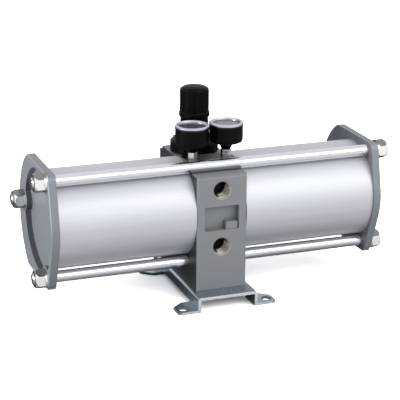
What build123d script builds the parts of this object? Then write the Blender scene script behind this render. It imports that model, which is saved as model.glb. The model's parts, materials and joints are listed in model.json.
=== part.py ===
from build123d import *
from math import cos, radians, sin, sqrt
import os

# Compressed-air booster with a governor: two cylinders on one piston rod, either side of a centre body.
# Millimetres. X runs along the cylinders, Y from the front ports to the back, Z up from the floor.

# Cylinders
axis_height = 98.0
tube_bore = 100.0
tube_wall = 3.5
tube_length = 150.0

# Centre body
body_width = 57.0
body_front = 53.5
body_back = 70.5
body_corner = 2.5
deck_front = 24.5
deck_margin = 0.5
back_land_drop = 4.0
spigot_length = 6.0

# End covers
flange_thickness = 9.0
cover_spigot = 10.0
cover_above_rod = 9.0
cover_below_rod = 11.5
cover_rim_radius = 55.5
lug_radius = 12.0
back_arc_radius = 75.0
back_arc_y = 8.0
back_arc_drop = 5.0
recess_radius = 56.0
recess_fillet = 1.0
recess_depth = 6.5
rim_width = 5.0
boss_radius = 13.0

# Tie rods, nuts and washers
rod_circle = 61.5
rod_diameter = 12.5
upper_rod_angle = 57.7
lower_rod_angle = 65.0
back_rod_angle = 5.0
rod_end_length = 2.0
nut_flats = 19.0
nut_height = 10.0
washer_radius = 10.4
washer_thickness = 2.5

# Pistons and piston rod
piston_thickness = 22.0
piston_rod_diameter = 20.0
piston_neck_diameter = 16.0
piston_nut_flats = 24.0
piston_nut_height = 9.0
bush_wall = 3.0
bush_length = 40.0
seal_wall = 5.0
seal_width = 6.0
o_ring_section = 2.8
ring_band_width = 6.0

# Pilot pins, which each piston pushes at the end of its inward stroke
pin_diameter = 6.0
pin_head_diameter = 9.0
pin_head_length = 3.0
pin_travel = 2.5
pin_offset = 28.0
guide_diameter = 12.0
guide_length = 8.0

# Main switching spool
spool_wall = 3.0
sleeve_diameter = 20.0
spool_diameter = 13.0
spool_waist = 8.0
spool_length = 60.0
spool_travel = 4.0
sleeve_start = -24.0
sleeve_groove_width = 5.0
sleeve_groove_depth = 1.2
cap_screw_edge = 4.0
cap_thickness = 5.0
cap_spigot_length = 8.0
cap_screw_spacing = 24.0
cap_screw_diameter = 4.0
cap_screw_grip = 8.0

# Check valves in the bottom of the body
check_x = 17.0
check_y_front = -5.0
check_y_back = 30.0
check_pocket_diameter = 12.0
check_pocket_depth = 19.0
check_disc_diameter = 10.4
check_disc_thickness = 2.5
check_stem_diameter = 4.0
check_stem_length = 13.5
check_travel = 2.0
check_plug_thickness = 5.0
check_passage_diameter = 6.0

# Front ports, exhaust port and label pocket
port_bore = 18.6
port_mouth = 21.0
port_mouth_depth = 1.2
port_depth = 20.0
upper_port_rise = 29.5
lower_port_drop = 33.5
exhaust_port_rise = 21.0
pocket_width = 39.0
pocket_drop = 15.0
pocket_height = 27.0
pocket_depth = 9.0
pad_width = 13.0
pad_height = 8.5
pad_drop = 1.0

# Foot bracket
sheet = 3.2
plate_top = 17.0
bracket_half_width = 34.0
bracket_half_depth = 75.0
foot_pitch_x = 96.0
foot_pitch_y = 130.0
foot_reach = 22.0
foot_length = 28.0
foot_hole_diameter = 11.0
foot_chamfer = 10.0
web_lift = 5.0
bracket_bolt_diameter = 6.0
bracket_bolt_flats = 10.0
bracket_bolt_head = 4.0
bracket_bolt_grip = 12.0
bracket_bolt_x = 20.0
bracket_bolt_y = 45.0

# Gauge block and the two pressure gauges
gauge_block_back = 2.0
gauge_block_thickness = 4.5
gauge_x = 19.5
gauge_y = -12.0
gauge_radius = 18.5
gauge_case_height = 18.5
gauge_bezel_height = 4.0
gauge_wall = 2.5
gauge_boss_radius = 7.0
gauge_boss_length = 8.0
stem_length = 8.0
stem_flats = 10.0
stem_thread_diameter = 9.8
stem_thread_depth = 7.0
dial_depth = 6.0
dial_thickness = 0.8
lens_thickness = 1.6
pointer_thickness = 0.6
pointer_width = 1.4
arbor_radius = 0.75
plug_diameter = 6.4
plug_height = 8.0

# Governor: bonnet, spring, adjusting screw and knob
governor_y = 35.0
bonnet_radius = 26.5
bonnet_flange_height = 12.5
bonnet_cone_height = 10.0
bonnet_neck_radius = 15.4
bonnet_height = 38.5
bonnet_top_wall = 3.0
spring_bore_radius = 12.6
diaphragm_radius = 25.0
diaphragm_thickness = 1.2
chamber_radius = 18.0
chamber_depth = 5.0
plate_height = 4.6
pusher_radius = 10.0
pusher_height = 1.4
spring_mean_radius = 9.2
spring_wire = 2.2
spring_turns = 4.0
seat_thickness = 4.0
seat_travel = 9.0
screw_diameter = 8.0
screw_collar_radius = 9.0
screw_collar_height = 3.0
screw_hex = 9.0
screw_hex_length = 15.0
knob_radius = 16.0
knob_skirt_radius = 16.9
knob_skirt_height = 6.0
knob_height = 34.5
knob_dome = 5.0
knob_wall = 3.0
knob_lift = 3.0
knob_flutes = 14
flute_depth = 0.7
bonnet_screw_circle = 22.5
bonnet_screw_diameter = 4.0
bonnet_screw_head = 4.0
bonnet_screw_grip = 7.0

# Governor valve under the diaphragm
valve_pocket_radius = 7.0
valve_pocket_depth = 21.0
valve_seat_height = 7.0
valve_orifice = 6.4
valve_disc_radius = 5.2
valve_disc_height = 3.5
valve_stem_radius = 1.5
valve_travel = 1.5

# Clearances
slip = 0.2
running = 0.05
clear = 0.3
hole_clearance = 0.5
drill_end = 1.0

# Worked-out places
half_body = body_width / 2
deck_height = axis_height + tube_bore / 2
back_land_height = deck_height - back_land_drop
back_arc_z = axis_height - back_arc_drop
upper_port_height = axis_height + upper_port_rise
lower_port_height = axis_height - lower_port_drop
exhaust_port_height = plate_top + exhaust_port_rise
pocket_bottom = axis_height - pocket_drop
groove_width = o_ring_section + 1.0
cover_inner = half_body + tube_length
cover_outer = cover_inner + flange_thickness
tube_radius = tube_bore / 2 + tube_wall
spigot_radius = tube_bore / 2 - slip
rod_radius = rod_diameter / 2
rod_hole_radius = rod_radius + hole_clearance / 2
rod_end = cover_outer + washer_thickness + nut_height + rod_end_length
rod_places = [
    (-rod_circle * cos(radians(upper_rod_angle)), axis_height + rod_circle * sin(radians(upper_rod_angle))),
    (-rod_circle * cos(radians(lower_rod_angle)), axis_height - rod_circle * sin(radians(lower_rod_angle))),
    (rod_circle * cos(radians(back_rod_angle)), axis_height + rod_circle * sin(radians(back_rod_angle))),
]
front_land_height = rod_places[0][1] - rod_radius - clear
cover_top = rod_places[0][1] + cover_above_rod
cover_bottom = rod_places[1][1] - cover_below_rod
deck_back = governor_y + bonnet_radius + deck_margin
sleeve_end = body_back - cap_spigot_length
sleeve_length = sleeve_end - sleeve_start
body_face = half_body + spigot_length
chamber_end = cover_inner - cover_spigot
pin_tip = body_face + pin_travel
piston_inner_stop = pin_tip + clear
piston_outer_stop = chamber_end - clear
piston_stroke = piston_outer_stop - piston_inner_stop - piston_thickness
piston_inner = piston_inner_stop + piston_stroke / 2
piston_outer = piston_inner + piston_thickness
rod_body_radius = piston_rod_diameter / 2
cap_side = cap_screw_spacing + 2 * cap_screw_edge
spool_height = axis_height - rod_body_radius - seal_wall - spool_wall - sleeve_diameter / 2
gauge_deck = deck_height + gauge_block_thickness
gauge_case_bottom = gauge_deck + stem_length + gauge_boss_length
bonnet_top = deck_height + bonnet_height
bonnet_bottom = deck_height + diaphragm_thickness
seat_top = bonnet_top - bonnet_top_wall - clear - screw_collar_height - clear
spring_top = seat_top - seat_thickness
plate_roof = bonnet_bottom + plate_height
knob_bottom = bonnet_top + 2 * clear

along = Align.MIN
flat = Align.CENTER


def x_cylinder(radius, start, end, y=0.0, z=axis_height):
    """A cylinder along X from start to end."""
    bar = Cylinder(radius, end - start, align=(flat, flat, along))
    return Pos(start, y, z) * Rot(0, 90, 0) * bar


def y_cylinder(radius, start, end, x=0.0, z=axis_height):
    """A cylinder along Y from start to end."""
    bar = Cylinder(radius, end - start, align=(flat, flat, along))
    return Pos(x, start, z) * Rot(-90, 0, 0) * bar


def z_cylinder(radius, start, end, x=0.0, y=0.0):
    """A cylinder along Z from start to end."""
    bar = Cylinder(radius, end - start, align=(flat, flat, along))
    return Pos(x, y, start) * bar


def block(x_range, y_range, z_range):
    """A plain block between three pairs of limits."""
    size = [high - low for low, high in (x_range, y_range, z_range)]
    low = [pair[0] for pair in (x_range, y_range, z_range)]
    return Pos(*low) * Box(*size, align=(along, along, along))


def side_plane(x):
    """The plane across the cylinders at x, with Y to the right and Z up."""
    return Plane(origin=(x, 0, 0), x_dir=(0, 1, 0), z_dir=(1, 0, 0))


def hexagon(flats):
    """A hexagon with two flats facing sideways along its first axis."""
    return RegularPolygon(flats / 2, 6, major_radius=False, rotation=30)


def hex_bar_x(flats, start, end, y, z):
    """A hexagonal bar along X with flats facing front and back."""
    return extrude(side_plane(start) * Pos(y, z) * hexagon(flats), end - start)


def hex_bar_z(flats, start, end, x, y):
    """A hexagonal bar along Z."""
    return extrude(Pos(x, y, start) * hexagon(flats), end - start)


def turned(points, x=0.0, y=0.0):
    """A solid turned about a vertical axis through x, y from a profile of radius and height pairs."""
    profile = make_face(Polyline([(r, 0, h) for r, h in points], close=True))
    return Pos(x, y, 0) * revolve(profile, Axis.Z)


def x_ring(outer, inner, start, end):
    """A ring about the cylinder axis."""
    return x_cylinder(outer, start, end) - x_cylinder(inner, start - 1, end + 1)


def joined(pieces):
    """Separate solids kept together as one sub-part."""
    solids = [solid for piece in pieces for solid in piece.solids()]
    return Compound(children=solids)


def mirrored(piece):
    """The same piece on the other side of the centre body."""
    return mirror(piece, about=Plane.YZ)


def seal_groove(start, width):
    """The ring cut from a spigot for its sealing ring."""
    return x_ring(spigot_radius + 1, spigot_radius - o_ring_section, start, start + width)


# Centre body

def body_profile():
    """The body seen from the end: a low front land under the upper tie rod, the deck, and a back land."""
    outline = [
        (-body_front, plate_top),
        (-body_front, front_land_height),
        (-deck_front, front_land_height),
        (-deck_front, deck_height),
        (deck_back, deck_height),
        (deck_back, back_land_height),
        (body_back, back_land_height),
        (body_back, plate_top),
    ]
    return make_face(Polyline(outline, close=True))


def body_casting():
    """The rounded block with a round spigot on each side for the tubes."""
    casting = extrude(side_plane(-half_body) * body_profile(), body_width)
    corners = casting.edges().filter_by(Axis.Z).filter_by(lambda edge: abs(edge.center().Y) > body_front - 1)
    sides = casting.edges().filter_by(Axis.X).group_by(Axis.Y)
    tops = sides[0].sort_by(Axis.Z)[-1:] + sides[-1].sort_by(Axis.Z)[-1:]
    casting = fillet(corners + tops, body_corner)
    casting += x_cylinder(spigot_radius, -body_face, body_face)
    for side in (1, -1):
        start = half_body + 1 if side > 0 else -half_body - 1 - groove_width
        casting -= seal_groove(start, groove_width)
    return casting


def port_cut(height, front):
    """A threaded port's core with its chamfered mouth, on the front or the back face."""
    if front:
        core = y_cylinder(port_bore / 2, -body_front - 1, -body_front + port_depth, z=height)
        return core + mouth_cone(-body_front, 1, height)
    core = y_cylinder(port_bore / 2, body_back - port_depth, body_back + 1, z=height)
    return core + mouth_cone(body_back, -1, height)


def mouth_cone(face, inward, height):
    """The chamfer at a port's mouth."""
    cone = Cone(port_mouth / 2, port_bore / 2, port_mouth_depth, align=(flat, flat, along))
    turn = Rot(-90, 0, 0) if inward > 0 else Rot(90, 0, 0)
    return Pos(0, face, height) * turn * cone


def label_pocket():
    """The pocket between the front ports, with a raised pad in its lower right corner."""
    half = pocket_width / 2
    floor = -body_front + pocket_depth
    cut = block((-half, half), (-body_front - 1, floor), (pocket_bottom, pocket_bottom + pocket_height))
    cut = fillet(cut.edges().filter_by(Axis.Y), 1.5)
    pad = block(
        (half - 1.5 - pad_width, half - 1.5),
        (-body_front + pad_drop, floor + 1),
        (pocket_bottom - 1, pocket_bottom + pad_height),
    )
    return cut - pad


def rod_bores():
    """The stepped bore of the piston rod: bush in the middle, a seal and a retainer at each end."""
    bush = x_cylinder(rod_body_radius + bush_wall, -body_face - 1, body_face + 1)
    seal = x_ring(rod_body_radius + seal_wall, 1, bush_length / 2, body_face + 1)
    return bush + seal + mirrored(seal)


def pin_bores():
    """A pocket for each pilot pin and its guide, open to the cylinder."""
    cuts = []
    for side in (1, -1):
        depth = guide_length + pin_head_length + pin_travel + 2 * clear
        start, end = sorted((side * (body_face - depth), side * (body_face + 1)))
        cuts.append(x_cylinder(guide_diameter / 2, start, end, y=pin_offset))
    return cuts


def check_places():
    """The four check valves, two at each side."""
    return [(x, y) for x in (-check_x, check_x) for y in (check_y_front, check_y_back)]


def centre_body():
    """The die-cast body between the cylinders."""
    body = body_casting()
    body -= rod_bores()
    body -= label_pocket()
    for height in (upper_port_height, lower_port_height):
        body -= port_cut(height, True)
    body -= port_cut(exhaust_port_height, False)
    for cut in pin_bores():
        body -= cut
    for y, z in rod_places[1:]:
        body -= x_cylinder(rod_hole_radius, -half_body - 1, half_body + 1, y, z)
    body -= y_cylinder(sleeve_diameter / 2, sleeve_start, body_back + 1, z=spool_height)
    cap_hole_end = body_back - cap_screw_grip - drill_end
    for x, z in cap_screw_places():
        body -= y_cylinder(cap_screw_diameter / 2 + running, cap_hole_end, body_back + 1, x, z)
    for x, y in check_places():
        body -= z_cylinder(check_pocket_diameter / 2, plate_top - 1, plate_top + check_pocket_depth, x, y)
        top = plate_top + check_pocket_depth
        body -= z_cylinder(check_passage_diameter / 2, top - 1, top + 8, x, y)
    bolt_hole_top = plate_top + bracket_bolt_grip + drill_end
    for x, y in bracket_bolt_places():
        body -= z_cylinder(bracket_bolt_diameter / 2 + running, plate_top - 1, bolt_hole_top, x, y)
    for x in (-gauge_x, gauge_x):
        body -= z_cylinder(stem_thread_diameter / 2 + running, deck_height - 6, deck_height + 1, x, gauge_y)
    body -= z_cylinder(chamber_radius, deck_height - chamber_depth, deck_height + 1, 0, governor_y)
    pocket_end = deck_height - chamber_depth - valve_pocket_depth
    body -= z_cylinder(valve_pocket_radius, pocket_end, deck_height, 0, governor_y)
    screw_hole_end = deck_height - bonnet_screw_grip - drill_end
    for x, y in bonnet_screw_places():
        body -= z_cylinder(bonnet_screw_diameter / 2 + running, screw_hole_end, deck_height + 1, x, y)
    return body


# Cylinders, covers and tie rods

def tube():
    """The right tube, which meets the body and the cover end to end."""
    return x_ring(tube_radius, tube_bore / 2, half_body, cover_inner)


def cover_outline():
    """The cover's outline: lugs at the front rods, a broad arc at the back, flat top and bottom."""
    front = [Pos(0, axis_height) * Circle(cover_rim_radius)]
    for y, z in rod_places[:2]:
        front.append(Pos(y, z) * Circle(lug_radius))
    hull = make_hull([edge for shape in front for edge in shape.edges()])
    back = Pos(back_arc_y, back_arc_z) * Circle(back_arc_radius)
    reach = back_arc_radius + back_arc_y - rod_places[0][0]
    middle = (rod_places[0][0] + reach / 2, (cover_top + cover_bottom) / 2)
    back &= Pos(*middle) * Rectangle(reach, cover_top - cover_bottom)
    band = Pos(0, middle[1]) * Rectangle(4 * reach, cover_top - cover_bottom)
    return (hull + back) & band


def end_cover():
    """The right end cover: a flanged plate, dished on its outer face, with a spigot into the tube."""
    outline = cover_outline()
    plate = extrude(side_plane(cover_inner) * outline, flange_thickness)
    edges = plate.edges().filter_by(Axis.X)
    sharp = [edge for edge in edges if edge.center().Y > back_arc_y]
    plate = fillet(sharp, 8)
    rim = plate.edges().group_by(Axis.X)[-1]
    plate = chamfer(rim, 0.8)
    dish = Pos(0, axis_height) * Circle(recess_radius)
    dish &= offset(outline, amount=-rim_width)
    for y, z in rod_places:
        dish -= Pos(y, z) * Circle(boss_radius)
    dish = extrude(side_plane(cover_outer - recess_depth) * dish, recess_depth + 1)
    plate -= fillet(dish.edges().group_by(Axis.X)[0], recess_fillet)
    plate += x_cylinder(spigot_radius, chamber_end, cover_inner + 1)
    plate -= seal_groove(cover_inner - 2 - groove_width, groove_width)
    for y, z in rod_places:
        plate -= x_cylinder(rod_hole_radius, cover_inner - 1, cover_outer + 1, y, z)
    return plate


def tie_rods():
    """Three rods that hold the covers, tubes and body together."""
    rods = [x_cylinder(rod_radius, -rod_end, rod_end, y, z) for y, z in rod_places]
    return joined([chamfer(rod.edges(), 1.0) for rod in rods])


def tie_rod_nuts():
    """A hexagon nut at each rod end, chamfered on its outer corners."""
    nuts = []
    start = cover_outer + washer_thickness
    for y, z in rod_places:
        nut = hex_bar_x(nut_flats, start, start + nut_height, y, z)
        wide, narrow = nut_flats * 0.58 + nut_height, nut_flats * 0.5 - 0.5
        cone = Cone(wide, narrow, nut_height * 2, align=(flat, flat, along))
        nut &= Pos(start - nut_height, y, z) * Rot(0, 90, 0) * cone
        nut -= x_cylinder(rod_radius + running, start - 1, start + nut_height + 1, y, z)
        nuts += [nut, mirrored(nut)]
    return joined(nuts)


def tie_rod_washers():
    """A plain washer under each nut."""
    washers = []
    for y, z in rod_places:
        washer = x_cylinder(washer_radius, cover_outer, cover_outer + washer_thickness, y, z)
        washer -= x_cylinder(rod_radius + running, cover_outer - 1, rod_end, y, z)
        washers += [washer, mirrored(washer)]
    return joined(washers)


def tube_seals():
    """One square-cut sealing ring in each spigot groove."""
    outer = tube_bore / 2 - running
    inner = spigot_radius - o_ring_section + running
    rings = []
    for start in (half_body + 1, cover_inner - 2 - groove_width):
        ring = x_ring(outer, inner, start + slip / 2, start + groove_width - slip / 2)
        rings += [ring, mirrored(ring)]
    return joined(rings)


# Pistons and rod

def piston_rod():
    """The rod through the body, with a shouldered neck at each end for a piston."""
    shoulder = piston_outer - piston_thickness
    tip = piston_outer - clear
    rod = x_cylinder(rod_body_radius, -shoulder, shoulder)
    rod += x_cylinder(piston_neck_diameter / 2, -tip, tip)
    return chamfer(rod.edges().filter_by(GeomType.CIRCLE).group_by(Axis.X)[0], 1.0)


def piston():
    """The right piston, with a seal groove, a guide band groove and a counterbore for its nut."""
    disc = x_cylinder(tube_bore / 2 - 2 * clear, piston_inner, piston_outer)
    disc -= x_cylinder(piston_neck_diameter / 2 + running, piston_inner - 1, piston_outer + 1)
    counterbore = piston_nut_flats * 0.62 + 1
    disc -= x_cylinder(counterbore, piston_outer - piston_nut_height - 1, piston_outer + 1)
    band_start = piston_outer - 4 - ring_band_width
    for start, width in ((piston_inner + 4, groove_width), (band_start, ring_band_width)):
        disc -= x_ring(tube_bore / 2, tube_bore / 2 - o_ring_section, start, start + width)
    outer_edges = disc.edges().filter_by(GeomType.CIRCLE).group_by(Axis.X)[-1]
    return chamfer(outer_edges.sort_by(Edge.length)[-1:], 1.5)


def piston_seals():
    """The lipped seal in each piston's inner groove."""
    start = piston_inner + 4 + slip / 2
    end = start + groove_width - slip
    ring = x_ring(tube_bore / 2 - running, tube_bore / 2 - o_ring_section + running, start, end)
    return joined([ring, mirrored(ring)])


def guide_bands():
    """The guide band in each piston's outer groove."""
    start = piston_outer - 4 - ring_band_width + slip / 2
    end = start + ring_band_width - slip
    ring = x_ring(tube_bore / 2 - running, tube_bore / 2 - o_ring_section + running, start, end)
    return joined([ring, mirrored(ring)])


def piston_nuts():
    """The nut that holds each piston on the rod's neck."""
    start = piston_outer - piston_nut_height - 1
    nut = hex_bar_x(piston_nut_flats, start, start + piston_nut_height, 0, axis_height)
    nut -= x_cylinder(piston_neck_diameter / 2 + running, start - 1, piston_outer + 1)
    return joined([nut, mirrored(nut)])


def rod_bush():
    """The bronze bush in the middle of the body."""
    return x_ring(rod_body_radius + bush_wall, rod_body_radius + running, -bush_length / 2, bush_length / 2)


def rod_seals():
    """A rod seal beside each end of the bush."""
    start = bush_length / 2
    ring = x_ring(rod_body_radius + seal_wall, rod_body_radius + running, start, start + seal_width)
    return joined([ring, mirrored(ring)])


def seal_retainers():
    """A ring that keeps each rod seal in its bore."""
    start = bush_length / 2 + seal_width
    ring = x_ring(rod_body_radius + seal_wall, rod_body_radius + clear, start, body_face)
    return joined([ring, mirrored(ring)])


def pilot_pin():
    """The right pilot pin, headed inside the body and reaching into the cylinder."""
    head_end = body_face - guide_length - running
    pin = x_cylinder(pin_diameter / 2, head_end - 1, pin_tip, y=pin_offset)
    pin += x_cylinder(pin_head_diameter / 2, head_end - pin_head_length, head_end, y=pin_offset)
    return chamfer(pin.edges().group_by(Axis.X)[-1], 0.8)


def pilot_pin_guides():
    """The guide bush around each pilot pin."""
    start = body_face - guide_length
    guide = x_cylinder(guide_diameter / 2, start, body_face, y=pin_offset)
    guide -= x_cylinder(pin_diameter / 2 + running, start - 1, body_face + 1, y=pin_offset)
    return joined([guide, mirrored(guide)])


# Switching spool

def spool_sleeve():
    """The ported sleeve that the spool slides in."""
    radius = sleeve_diameter / 2
    sleeve = y_cylinder(radius, sleeve_start, sleeve_end, z=spool_height)
    sleeve -= y_cylinder(spool_diameter / 2 + running, sleeve_start - 1, sleeve_end + 1, z=spool_height)
    for number in range(5):
        middle = sleeve_start + sleeve_length * (number + 1) / 6
        start = middle - sleeve_groove_width / 2
        stop = start + sleeve_groove_width
        ring = y_cylinder(radius + 1, start, stop, z=spool_height)
        ring -= y_cylinder(radius - sleeve_groove_depth, start - 1, stop + 1, z=spool_height)
        sleeve -= ring
        sleeve -= z_cylinder(1.8, spool_height - radius - 1, spool_height + radius + 1, 0, middle)
    return sleeve


def spool():
    """The spool: four lands and three waists."""
    middle = sleeve_start + sleeve_length / 2
    start = middle - spool_length / 2
    bar = y_cylinder(spool_diameter / 2, start, start + spool_length, z=spool_height)
    waist = spool_length / 8
    for number in range(3):
        place = start + spool_length * (number + 1) / 4 - waist / 2
        ring = y_cylinder(spool_diameter, place, place + waist, z=spool_height)
        ring -= y_cylinder(spool_waist / 2, place - 1, place + waist + 1, z=spool_height)
        bar -= ring
    return bar


def cap_screw_places():
    """The four screws in the corners of the end cap."""
    half = cap_screw_spacing / 2
    return [(x, spool_height + z) for x in (-half, half) for z in (-half, half)]


def spool_end_cap():
    """The square cap that closes the spool bore at the back."""
    half = cap_side / 2
    cap_outer = body_back + cap_thickness
    cap = block((-half, half), (body_back, cap_outer), (spool_height - half, spool_height + half))
    cap = fillet(cap.edges().filter_by(Axis.Y), cap_screw_edge)
    cap += y_cylinder(sleeve_diameter / 2 - running, sleeve_end, body_back + 1, z=spool_height)
    for x, z in cap_screw_places():
        cap -= y_cylinder(cap_screw_diameter / 2 + slip, body_back - 1, cap_outer + 1, x, z)
    return cap


def cap_screw(diameter, under_head, length):
    """A socket head screw pointing down, its head standing on the height under_head."""
    head = diameter * 0.8
    screw = z_cylinder(head, under_head, under_head + diameter)
    screw -= hex_bar_z(diameter * 0.8, under_head + diameter * 0.4, under_head + diameter + 1, 0, 0)
    return screw + z_cylinder(diameter / 2, under_head - length, under_head + 0.1)


def spool_cap_screws():
    """Four screws in the corners of the end cap."""
    screws = []
    screw = Rot(-90, 0, 0) * cap_screw(cap_screw_diameter, 0, cap_thickness + cap_screw_grip)
    for x, z in cap_screw_places():
        screws.append(Pos(x, body_back + cap_thickness, z) * screw)
    return joined(screws)


# Check valves

def check_valve(x, y):
    """A poppet that seats upwards: a disc with a short nose above and a guide stem below."""
    seat = plate_top + check_pocket_depth - running
    disc = z_cylinder(check_disc_diameter / 2, seat - check_disc_thickness, seat, x, y)
    nose = z_cylinder(check_passage_diameter / 2 - clear, seat - 0.1, seat + 1.5, x, y)
    bottom = seat - check_disc_thickness - check_stem_length
    return disc + nose + z_cylinder(check_stem_diameter / 2, bottom, seat, x, y)


def check_valve_plugs():
    """A guide plug under each check valve, flush with the bottom of the body."""
    plugs = []
    roof = plate_top + check_plug_thickness
    for x, y in check_places():
        plug = z_cylinder(check_pocket_diameter / 2, plate_top, roof, x, y)
        plug -= z_cylinder(check_stem_diameter / 2 + running, plate_top - 1, roof + 1, x, y)
        plugs.append(plug)
    return joined(plugs)


def coil(radius, wire, bottom, top, turns, x, y):
    """A compression spring of square wire with its axis upright."""
    height = top - bottom - wire - 2 * running
    path = Pos(x, y, bottom + running + wire / 2) * Helix(height / turns, height, radius)
    start = path @ 0
    section = Plane(origin=start, x_dir=(start - Vector(x, y, start.Z)).normalized(), z_dir=path % 0)
    return sweep(section * Rectangle(wire, wire), path, is_frenet=True)


def check_spring(x, y):
    """The light spring between a check valve's disc and its plug."""
    top = plate_top + check_pocket_depth - check_disc_thickness
    return coil(4.0, 0.9, plate_top + check_plug_thickness, top, 3.0, x, y)


# Foot bracket

def bracket_bolt_places():
    """Four bolts through the bracket's plate into the body."""
    return [(x, y) for x in (-bracket_bolt_x, bracket_bolt_x) for y in (-bracket_bolt_y, bracket_bolt_y)]


def foot(x_side, y_side):
    """One foot: a flat tab with a bolt hole and a cut corner."""
    inner = bracket_half_width - sheet
    outer = bracket_half_width + foot_reach
    far = bracket_half_depth
    near = bracket_half_depth - foot_length
    points = [
        (inner, near),
        (outer - foot_chamfer - 2, near),
        (outer, near + foot_chamfer),
        (outer, far - 3),
        (outer - 3, far),
        (inner, far),
    ]
    tab = make_face(Polyline([(x_side * x, y_side * y) for x, y in points], close=True))
    tab = extrude(tab, sheet, dir=(0, 0, 1))
    hole_x = x_side * foot_pitch_x / 2
    hole_y = y_side * foot_pitch_y / 2
    return tab - z_cylinder(foot_hole_diameter / 2, -1, sheet + 1, hole_x, hole_y)


def foot_bracket():
    """The bent sheet bracket: a top plate, two side webs and four feet."""
    half, deep = bracket_half_width, bracket_half_depth
    shell = block((-half, half), (-deep, deep), (0, plate_top))
    shell = fillet(shell.edges().filter_by(Axis.Y).group_by(Axis.Z)[-1], sheet)
    shell -= block((-half + sheet, half - sheet), (-deep - 1, deep + 1), (-1, plate_top - sheet))
    span = deep - foot_length
    shell -= block((-half - 1, half + 1), (-span, span), (-1, web_lift))
    for x_side in (-1, 1):
        for y_side in (-1, 1):
            shell += foot(x_side, y_side)
    bolt_hole_radius = (bracket_bolt_diameter + hole_clearance) / 2
    for x, y in bracket_bolt_places():
        shell -= z_cylinder(bolt_hole_radius, plate_top - sheet - 1, plate_top + 1, x, y)
    return shell


def bracket_bolts():
    """Hexagon bolts up through the plate."""
    under = plate_top - sheet
    bolts = []
    for x, y in bracket_bolt_places():
        head = hex_bar_z(bracket_bolt_flats, under - bracket_bolt_head, under, x, y)
        tip = plate_top + bracket_bolt_grip
        bolts.append(head + z_cylinder(bracket_bolt_diameter / 2, under - 0.1, tip, x, y))
    return joined(bolts)


# Gauge block and gauges

def gauge_block():
    """The dark block along the front of the deck, which carries both gauges."""
    half = half_body - slip
    front = -deck_front + slip
    slab = block((-half, half), (front, gauge_block_back), (deck_height, gauge_deck))
    slab = fillet(slab.edges().filter_by(Axis.Z), 3)
    slab = chamfer(slab.edges().group_by(Axis.Z)[-1], 0.8)
    for x in (-gauge_x, gauge_x):
        slab -= z_cylinder(stem_thread_diameter / 2 + running, deck_height - 1, gauge_deck + 1, x, gauge_y)
    return slab


def block_plug():
    """The small black plug at the left end of the gauge block."""
    x = -half_body + plug_diameter / 2 + 0.6
    y = gauge_block_back - plug_diameter / 2 - 1.5
    plug = hex_bar_z(plug_diameter, gauge_deck, gauge_deck + plug_height * 0.6, x, y)
    return plug + z_cylinder(plug_diameter * 0.42, gauge_deck, gauge_deck + plug_height, x, y)


def gauge_stems():
    """The bright stems screwed through the gauge block, with their spanner flats."""
    top = gauge_case_bottom - gauge_boss_length
    stems = []
    for x in (-gauge_x, gauge_x):
        stem = hex_bar_z(stem_flats, gauge_deck, top, x, gauge_y)
        stem += z_cylinder(stem_thread_diameter / 2, deck_height - 5, gauge_deck + 0.1, x, gauge_y)
        stems.append(stem)
    return joined(stems)


def gauge_case(x):
    """The black case: a cup with a rounded foot and a tapered boss over the stem."""
    bottom, radius = gauge_case_bottom, gauge_radius
    top = bottom + gauge_case_height
    dial = top - dial_depth
    boss = gauge_boss_radius
    case = turned(
        [
            (0, bottom - gauge_boss_length),
            (boss - 2.6, bottom - gauge_boss_length),
            (boss - 1.8, bottom - gauge_boss_length + 0.8),
            (boss, bottom - gauge_boss_length * 0.4),
            (boss, bottom),
            (radius - 3.5, bottom),
            (radius - 1, bottom + 1.2),
            (radius - 0.3, bottom + 3.5),
            (radius - 0.3, top),
            (radius - gauge_wall, top),
            (radius - gauge_wall, dial),
            (radius - gauge_wall - 3, dial),
            (radius - gauge_wall - 3, bottom + 4),
            (0, bottom + 4),
        ],
        x,
        gauge_y,
    )
    return case


def gauge_bezel(x):
    """The bright ring crimped over the lens."""
    radius = gauge_radius
    top = gauge_case_bottom + gauge_case_height
    lens = top + clear + lens_thickness
    return turned(
        [
            (radius - gauge_wall, top),
            (radius, top),
            (radius, top + gauge_bezel_height - 1),
            (radius - 1, top + gauge_bezel_height),
            (radius - 2.4, top + gauge_bezel_height),
            (radius - 3.6, lens + 0.5),
            (radius - 3.6, lens),
            (radius - gauge_wall + 0.6, lens),
            (radius - gauge_wall + 0.6, top + clear),
            (radius - gauge_wall, top + clear),
        ],
        x,
        gauge_y,
    )


def gauge_lenses():
    """The clear lens under each ring's lip."""
    bottom = gauge_case_bottom + gauge_case_height + clear
    radius = gauge_radius - gauge_wall + 0.6 - running
    top = bottom + lens_thickness
    return joined([z_cylinder(radius, bottom, top, x, gauge_y) for x in (-gauge_x, gauge_x)])


def gauge_dials():
    """The dial plate on its shelf in each case."""
    bottom = gauge_case_bottom + gauge_case_height - dial_depth
    plates = []
    for x in (-gauge_x, gauge_x):
        plate = z_cylinder(gauge_radius - gauge_wall - slip, bottom, bottom + dial_thickness, x, gauge_y)
        plates.append(plate - z_cylinder(arbor_radius + running, bottom - 1, bottom + 2, x, gauge_y))
    return joined(plates)


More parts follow.
